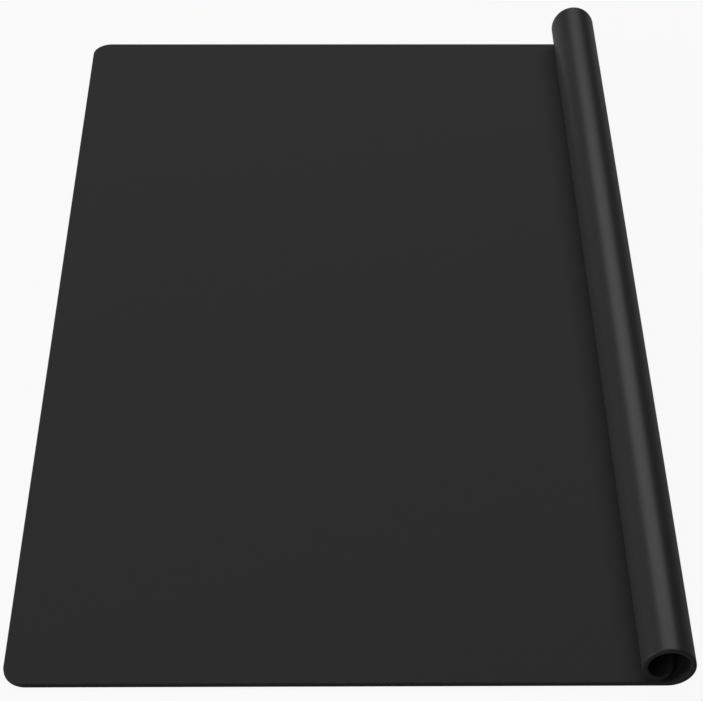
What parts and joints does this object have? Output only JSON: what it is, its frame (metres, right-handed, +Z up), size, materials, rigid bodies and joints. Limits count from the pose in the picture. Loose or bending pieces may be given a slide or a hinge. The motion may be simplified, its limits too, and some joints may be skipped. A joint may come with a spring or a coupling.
{
  "type": "silicone counter mat",
  "caption": "Thin matte silicone mat with rounded corners, lying flat with one end rolled into an open tube that unrolls.",
  "frame": {"origin": "middle of the flat part's underside, which rests on the counter", "axes": "+X from the flat part to the roll, +Y along the roll, +Z up from the counter"},
  "size_m": [0.2456, 0.4004, 0.0234],
  "materials": {
    "silicone": "matte moulded silicone"
  },
  "bodies": {
    "flat_sheet": {"flat_sheet": "silicone"},
    "roll_strip_01": {"roll_strip_01": "silicone"},
    "roll_strip_02": {"roll_strip_02": "silicone"},
    "roll_strip_03": {"roll_strip_03": "silicone"},
    "roll_strip_04": {"roll_strip_04": "silicone"},
    "roll_strip_05": {"roll_strip_05": "silicone"},
    "roll_strip_06": {"roll_strip_06": "silicone"},
    "roll_strip_07": {"roll_strip_07": "silicone"},
    "roll_strip_08": {"roll_strip_08": "silicone"},
    "roll_strip_09": {"roll_strip_09": "silicone"},
    "roll_strip_10": {"roll_strip_10": "silicone"},
    "roll_strip_11": {"roll_strip_11": "silicone"},
    "roll_strip_12": {"roll_strip_12": "silicone"},
    "roll_strip_13": {"roll_strip_13": "silicone"},
    "roll_strip_14": {"roll_strip_14": "silicone"},
    "roll_strip_15": {"roll_strip_15": "silicone"},
    "roll_strip_16": {"roll_strip_16": "silicone"},
    "roll_strip_17": {"roll_strip_17": "silicone"},
    "roll_strip_18": {"roll_strip_18": "silicone"},
    "roll_strip_19": {"roll_strip_19": "silicone"},
    "roll_strip_20": {"roll_strip_20": "silicone"},
    "roll_strip_21": {"roll_strip_21": "silicone"},
    "roll_strip_22": {"roll_strip_22": "silicone"},
    "roll_strip_23": {"roll_strip_23": "silicone"},
    "roll_strip_24": {"roll_strip_24": "silicone"},
    "roll_strip_25": {"roll_strip_25": "silicone"},
    "roll_strip_26": {"roll_strip_26": "silicone"},
    "roll_strip_27": {"roll_strip_27": "silicone"},
    "roll_strip_28": {"roll_strip_28": "silicone"},
    "roll_strip_29": {"roll_strip_29": "silicone"},
    "roll_strip_30": {"roll_strip_30": "silicone"},
    "roll_strip_31": {"roll_strip_31": "silicone"},
    "roll_strip_32": {"roll_strip_32": "silicone"}
  },
  "joints": [
    {"name": "unroll", "type": "hinge", "parent": "flat_sheet", "child": "roll_strip_01", "pos_m": [0.11773, -0.2, 0], "axis": [0, 1, 0], "range_deg": [0, 6.44], "stiffness_Nm_per_rad": 0.15},
    {"name": "unroll_02", "type": "hinge", "parent": "roll_strip_01", "child": "roll_strip_02", "pos_m": [0.1198, -0.2, 0.00023], "axis": [-0.0004, 1, 0], "range_deg": [0, 12.88], "stiffness_Nm_per_rad": 0.15},
    {"name": "unroll_03", "type": "hinge", "parent": "roll_strip_02", "child": "roll_strip_03", "pos_m": [0.12178, -0.2, 0.00093], "axis": [-0.0006, 1, -0.0001], "range_deg": [0, 12.88], "stiffness_Nm_per_rad": 0.15},
    {"name": "unroll_04", "type": "hinge", "parent": "roll_strip_03", "child": "roll_strip_04", "pos_m": [0.12359, -0.2, 0.00207], "axis": [-0.0004, 1, 0], "range_deg": [0, 12.88], "stiffness_Nm_per_rad": 0.15},
    {"name": "unroll_05", "type": "hinge", "parent": "roll_strip_04", "child": "roll_strip_05", "pos_m": [0.12514, -0.2, 0.00362], "axis": [0.0001, 1, 0.0005], "range_deg": [0, 12.88], "stiffness_Nm_per_rad": 0.15},
    {"name": "unroll_06", "type": "hinge", "parent": "roll_strip_05", "child": "roll_strip_06", "pos_m": [0.12632, -0.2, 0.00551], "axis": [0.0007, 1, 0.0014], "range_deg": [0, 12.88], "stiffness_Nm_per_rad": 0.15},
    {"name": "unroll_07", "type": "hinge", "parent": "roll_strip_06", "child": "roll_strip_07", "pos_m": [0.12707, -0.20001, 0.00765], "axis": [0.0012, 1, 0.0028], "range_deg": [0, 12.88], "stiffness_Nm_per_rad": 0.15},
    {"name": "unroll_08", "type": "hinge", "parent": "roll_strip_07", "child": "roll_strip_08", "pos_m": [0.12732, -0.20001, 0.00993], "axis": [0.0013, 1, 0.0045], "range_deg": [0, 12.88], "stiffness_Nm_per_rad": 0.15},
    {"name": "unroll_09", "type": "hinge", "parent": "roll_strip_08", "child": "roll_strip_09", "pos_m": [0.12706, -0.20003, 0.01221], "axis": [0.0011, 1, 0.0062], "range_deg": [0, 12.88], "stiffness_Nm_per_rad": 0.15},
    {"name": "unroll_10", "type": "hinge", "parent": "roll_strip_09", "child": "roll_strip_10", "pos_m": [0.1263, -0.20004, 0.01435], "axis": [0.0007, 1, 0.0076], "range_deg": [0, 12.88], "stiffness_Nm_per_rad": 0.15},
    {"name": "unroll_11", "type": "hinge", "parent": "roll_strip_10", "child": "roll_strip_11", "pos_m": [0.12511, -0.20005, 0.01624], "axis": [0.0001, 1, 0.0086], "range_deg": [0, 12.88], "stiffness_Nm_per_rad": 0.15},
    {"name": "unroll_12", "type": "hinge", "parent": "roll_strip_11", "child": "roll_strip_12", "pos_m": [0.12356, -0.20007, 0.01778], "axis": [-0.0004, 1, 0.009], "range_deg": [0, 12.88], "stiffness_Nm_per_rad": 0.15},
    {"name": "unroll_13", "type": "hinge", "parent": "roll_strip_12", "child": "roll_strip_13", "pos_m": [0.12175, -0.20008, 0.01891], "axis": [-0.0006, 1, 0.0091], "range_deg": [0, 12.88], "stiffness_Nm_per_rad": 0.15},
    {"name": "unroll_14", "type": "hinge", "parent": "roll_strip_13", "child": "roll_strip_14", "pos_m": [0.11976, -0.20009, 0.0196], "axis": [-0.0004, 1, 0.0091], "range_deg": [0, 12.88], "stiffness_Nm_per_rad": 0.15},
    {"name": "unroll_15", "type": "hinge", "parent": "roll_strip_14", "child": "roll_strip_15", "pos_m": [0.11769, -0.20009, 0.01982], "axis": [0, 1, 0.009], "range_deg": [0, 12.88], "stiffness_Nm_per_rad": 0.15},
    {"name": "unroll_16", "type": "hinge", "parent": "roll_strip_15", "child": "roll_strip_16", "pos_m": [0.11563, -0.20009, 0.01958], "axis": [0.0004, 1, 0.0091], "range_deg": [0, 12.88], "stiffness_Nm_per_rad": 0.15},
    {"name": "unroll_17", "type": "hinge", "parent": "roll_strip_16", "child": "roll_strip_17", "pos_m": [0.11365, -0.20008, 0.01888], "axis": [0.0006, 1, 0.0091], "range_deg": [0, 12.88], "stiffness_Nm_per_rad": 0.15},
    {"name": "unroll_18", "type": "hinge", "parent": "roll_strip_17", "child": "roll_strip_18", "pos_m": [0.11184, -0.20007, 0.01773], "axis": [0.0004, 1, 0.009], "range_deg": [0, 12.88], "stiffness_Nm_per_rad": 0.15},
    {"name": "unroll_19", "type": "hinge", "parent": "roll_strip_18", "child": "roll_strip_19", "pos_m": [0.1103, -0.20005, 0.01617], "axis": [-0.0001, 1, 0.0085], "range_deg": [0, 12.88], "stiffness_Nm_per_rad": 0.15},
    {"name": "unroll_20", "type": "hinge", "parent": "roll_strip_19", "child": "roll_strip_20", "pos_m": [0.10912, -0.20004, 0.01427], "axis": [-0.0007, 1, 0.0076], "range_deg": [0, 12.88], "stiffness_Nm_per_rad": 0.15},
    {"name": "unroll_21", "type": "hinge", "parent": "roll_strip_20", "child": "roll_strip_21", "pos_m": [0.10839, -0.20003, 0.01212], "axis": [-0.0012, 1, 0.0062], "range_deg": [0, 12.88], "stiffness_Nm_per_rad": 0.15},
    {"name": "unroll_22", "type": "hinge", "parent": "roll_strip_21", "child": "roll_strip_22", "pos_m": [0.10814, -0.20001, 0.00984], "axis": [-0.0013, 1, 0.0045], "range_deg": [0, 12.88], "stiffness_Nm_per_rad": 0.15},
    {"name": "unroll_23", "type": "hinge", "parent": "roll_strip_22", "child": "roll_strip_23", "pos_m": [0.10834, -0.20001, 0.00818], "axis": [-0.0012, 1, 0.0035], "range_deg": [0, 12.88], "stiffness_Nm_per_rad": 0.15},
    {"name": "unroll_24", "type": "hinge", "parent": "roll_strip_23", "child": "roll_strip_24", "pos_m": [0.10891, -0.2, 0.00659], "axis": [-0.0009, 1, 0.0025], "range_deg": [0, 12.88], "stiffness_Nm_per_rad": 0.15},
    {"name": "unroll_25", "type": "hinge", "parent": "roll_strip_24", "child": "roll_strip_25", "pos_m": [0.10981, -0.2, 0.00518], "axis": [-0.0003, 1, 0.0017], "range_deg": [0, 12.88], "stiffness_Nm_per_rad": 0.15},
    {"name": "unroll_26", "type": "hinge", "parent": "roll_strip_25", "child": "roll_strip_26", "pos_m": [0.11101, -0.2, 0.004], "axis": [0.0004, 1, 0.001], "range_deg": [0, 12.88], "stiffness_Nm_per_rad": 0.15},
    {"name": "unroll_27", "type": "hinge", "parent": "roll_strip_26", "child": "roll_strip_27", "pos_m": [0.11244, -0.2, 0.00312], "axis": [0.0012, 1, 0.0004], "range_deg": [0, 12.88], "stiffness_Nm_per_rad": 0.149},
    {"name": "unroll_28", "type": "hinge", "parent": "roll_strip_27", "child": "roll_strip_28", "pos_m": [0.11403, -0.2, 0.00257], "axis": [0.0022, 1, 0.0001], "range_deg": [0, 12.88], "stiffness_Nm_per_rad": 0.148},
    {"name": "unroll_29", "type": "hinge", "parent": "roll_strip_28", "child": "roll_strip_29", "pos_m": [0.1157, -0.2, 0.0024], "axis": [0.0032, 1, 0], "range_deg": [0, 12.88], "stiffness_Nm_per_rad": 0.121},
    {"name": "unroll_30", "type": "hinge", "parent": "roll_strip_29", "child": "roll_strip_30", "pos_m": [0.11737, -0.20001, 0.0026], "axis": [0.0042, 1, 0.0001], "range_deg": [0, 12.88], "stiffness_Nm_per_rad": 0.0861},
    {"name": "unroll_31", "type": "hinge", "parent": "roll_strip_30", "child": "roll_strip_31", "pos_m": [0.11895, -0.20002, 0.00317], "axis": [0.0051, 1, 0.0005], "range_deg": [0, 12.88], "stiffness_Nm_per_rad": 0.0543},
    {"name": "unroll_32", "type": "hinge", "parent": "roll_strip_31", "child": "roll_strip_32", "pos_m": [0.12037, -0.20003, 0.00408], "axis": [0.006, 1, 0.001], "range_deg": [0, 12.88], "stiffness_Nm_per_rad": 0.0249}
  ],
  "couplings": [
    {"joint": "unroll_02", "follows": "unroll", "ratio": 2},
    {"joint": "unroll_03", "follows": "unroll", "ratio": 2},
    {"joint": "unroll_04", "follows": "unroll", "ratio": 2},
    {"joint": "unroll_05", "follows": "unroll", "ratio": 2},
    {"joint": "unroll_06", "follows": "unroll", "ratio": 2},
    {"joint": "unroll_07", "follows": "unroll", "ratio": 2},
    {"joint": "unroll_08", "follows": "unroll", "ratio": 2},
    {"joint": "unroll_09", "follows": "unroll", "ratio": 2},
    {"joint": "unroll_10", "follows": "unroll", "ratio": 2},
    {"joint": "unroll_11", "follows": "unroll", "ratio": 2},
    {"joint": "unroll_12", "follows": "unroll", "ratio": 2},
    {"joint": "unroll_13", "follows": "unroll", "ratio": 2},
    {"joint": "unroll_14", "follows": "unroll", "ratio": 2},
    {"joint": "unroll_15", "follows": "unroll", "ratio": 2},
    {"joint": "unroll_16", "follows": "unroll", "ratio": 2},
    {"joint": "unroll_17", "follows": "unroll", "ratio": 2},
    {"joint": "unroll_18", "follows": "unroll", "ratio": 2},
    {"joint": "unroll_19", "follows": "unroll", "ratio": 2},
    {"joint": "unroll_20", "follows": "unroll", "ratio": 2},
    {"joint": "unroll_21", "follows": "unroll", "ratio": 2},
    {"joint": "unroll_22", "follows": "unroll", "ratio": 2},
    {"joint": "unroll_23", "follows": "unroll", "ratio": 2},
    {"joint": "unroll_24", "follows": "unroll", "ratio": 2},
    {"joint": "unroll_25", "follows": "unroll", "ratio": 2},
    {"joint": "unroll_26", "follows": "unroll", "ratio": 2},
    {"joint": "unroll_27", "follows": "unroll", "ratio": 2},
    {"joint": "unroll_28", "follows": "unroll", "ratio": 2},
    {"joint": "unroll_29", "follows": "unroll", "ratio": 2},
    {"joint": "unroll_30", "follows": "unroll", "ratio": 2},
    {"joint": "unroll_31", "follows": "unroll", "ratio": 2},
    {"joint": "unroll_32", "follows": "unroll", "ratio": 2}
  ]
}
